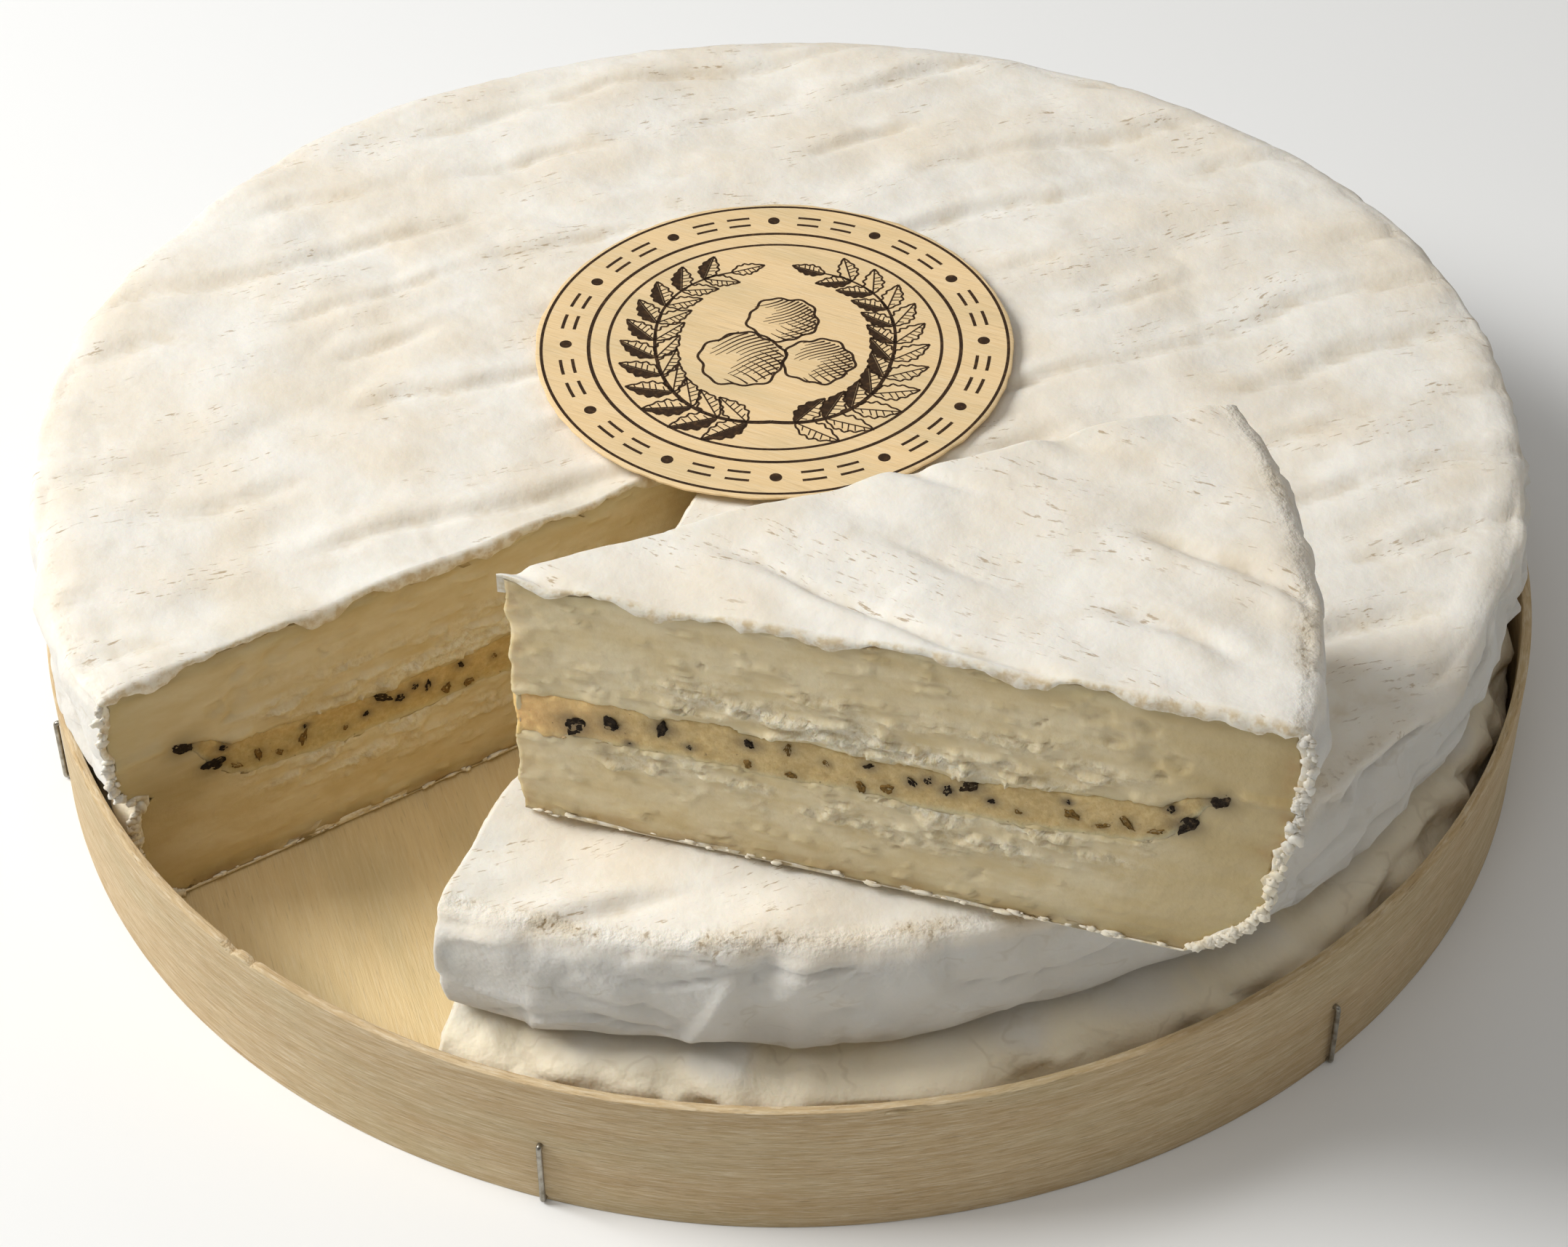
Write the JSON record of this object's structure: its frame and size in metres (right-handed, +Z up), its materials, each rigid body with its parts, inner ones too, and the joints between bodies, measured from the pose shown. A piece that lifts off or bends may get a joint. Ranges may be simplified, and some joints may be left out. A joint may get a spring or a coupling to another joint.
{
  "type": "truffle brie wheel in a veneer box tray",
  "caption": "Soft white-rinded cheese wheel with a truffle filling, a slice cut and laid on top, in a round stapled wood-veneer tray.",
  "frame": {"origin": "centre of the tray's underside, on the surface it stands on", "axes": "+Z up, -Y towards the front, where the slice overhangs and the notch opens to the left; +X to the right"},
  "size_m": [0.207, 0.2058, 0.0826],
  "materials": {
    "veneer_base": "raw sliced poplar veneer",
    "veneer_hoop": "raw sliced poplar veneer, slightly hairy grain",
    "staple_wire": "dull drawn wire",
    "rind": "soft matt white bloom",
    "paste": "moist and creamy near the rind, chalky in the middle",
    "truffle_filling": "grainy cream",
    "truffle": "black crumbs",
    "label_veneer": "thin veneer disc",
    "label_ink": "dark brown print of plain rings and a plain sprig"
  },
  "bodies": {
    "root": {"box_base": "veneer_base", "box_hoop": "veneer_hoop", "hoop_staple_1": "staple_wire", "hoop_staple_2": "staple_wire", "hoop_staple_3": "staple_wire", "hoop_staple_4": "staple_wire", "hoop_staple_5": "staple_wire", "hoop_staple_6": "staple_wire", "seam_staple_1": "staple_wire", "seam_staple_2": "staple_wire", "cheese_wheel": "rind", "wheel_filling": "truffle_filling", "label": "label_veneer", "cheese_slice": "rind", "slice_filling": "truffle_filling"}
  },
  "joints": []
}
